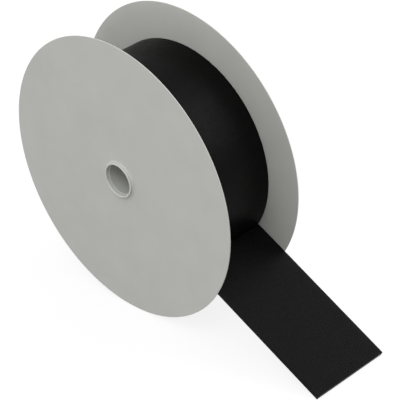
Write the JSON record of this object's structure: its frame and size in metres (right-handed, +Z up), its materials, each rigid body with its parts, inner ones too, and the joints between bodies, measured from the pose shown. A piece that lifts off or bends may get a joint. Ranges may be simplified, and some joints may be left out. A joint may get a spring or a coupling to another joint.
{
  "type": "hook and loop tape roll",
  "caption": "Flanged reel of wide black hook and loop tape, with its free end peeled off and a collared hub bore that it turns on.",
  "frame": {"origin": "on the floor under the roll, at the bottom centre of its bounding box", "axes": "+Z up; +Y along the reel's axis, from the front flange to the rear one; +X the way the free tail runs"},
  "size_m": [0.2202, 0.0556, 0.1648],
  "materials": {
    "reel_plastic": "matte",
    "hub_plastic": "satin",
    "plug_plastic": "matte",
    "core_board": "matte",
    "adhesive": "satin",
    "hook_fabric": "matte",
    "loop_fabric": "matte"
  },
  "bodies": {
    "reel": {"front_flange": "reel_plastic", "rear_flange": "reel_plastic", "winding_core": "core_board", "front_core_plug": "plug_plastic", "rear_core_plug": "plug_plastic", "start_strip": "adhesive", "inner_turns": "loop_fabric", "outer_turn_hook": "hook_fabric", "outer_turn_loop": "loop_fabric"},
    "arbor": {"arbor_tube": "hub_plastic", "front_collar": "hub_plastic", "rear_collar": "hub_plastic"},
    "tail_root": {"tail_root_hook": "hook_fabric", "tail_root_loop": "loop_fabric"},
    "tail_end": {"tail_end_hook": "hook_fabric", "tail_end_loop": "loop_fabric"}
  },
  "joints": [
    {"name": "reel_spin", "type": "hinge", "parent": "reel", "child": "arbor", "pos_m": [-0.02768, 0, 0.08242], "axis": [0, 1, 0], "continuous": true},
    {"name": "tail_peel", "type": "hinge", "parent": "reel", "child": "tail_root", "pos_m": [0.02721, 0, 0.04678], "axis": [0, -1, 0], "range_deg": [0, 75]},
    {"name": "tail_bend", "type": "hinge", "parent": "tail_root", "child": "tail_end", "pos_m": [0.06866, 0, 0.02454], "axis": [0, -1, 0], "range_deg": [0, 75]}
  ]
}
